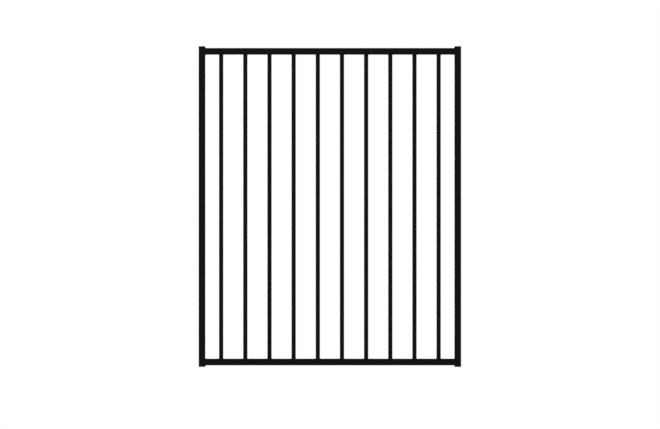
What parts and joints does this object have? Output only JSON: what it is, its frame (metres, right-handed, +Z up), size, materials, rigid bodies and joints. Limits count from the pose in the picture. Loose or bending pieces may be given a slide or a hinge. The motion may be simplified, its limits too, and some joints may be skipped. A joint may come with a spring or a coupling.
{
  "type": "aluminium fence panel",
  "caption": "Flat-topped aluminium fence panel: square-tube uprights and rails welded into an open frame, filled with upright round pickets, with capped tube ends.",
  "frame": {"origin": "centre of the left upright's outer face, halfway up and halfway through the panel, where the panel is fixed to a post", "axes": "+X along the panel to the right upright, +Y from its front to its back, +Z up"},
  "size_m": [0.982, 0.025, 1.2],
  "materials": {
    "powder_coat": "satin",
    "cap_plastic": "matte"
  },
  "bodies": {
    "root": {"left_upright": "powder_coat", "right_upright": "powder_coat", "top_rail": "powder_coat", "bottom_rail": "powder_coat", "picket_01": "powder_coat", "picket_02": "powder_coat", "picket_03": "powder_coat", "picket_04": "powder_coat", "picket_05": "powder_coat", "picket_06": "powder_coat", "picket_07": "powder_coat", "picket_08": "powder_coat", "picket_09": "powder_coat", "picket_10": "powder_coat", "top_left_cap": "cap_plastic", "top_right_cap": "cap_plastic", "bottom_left_cap": "cap_plastic", "bottom_right_cap": "cap_plastic", "top_left_weld": "powder_coat", "top_right_weld": "powder_coat", "bottom_left_weld": "powder_coat", "bottom_right_weld": "powder_coat", "top_picket_welds": "powder_coat", "bottom_picket_welds": "powder_coat"}
  },
  "joints": []
}
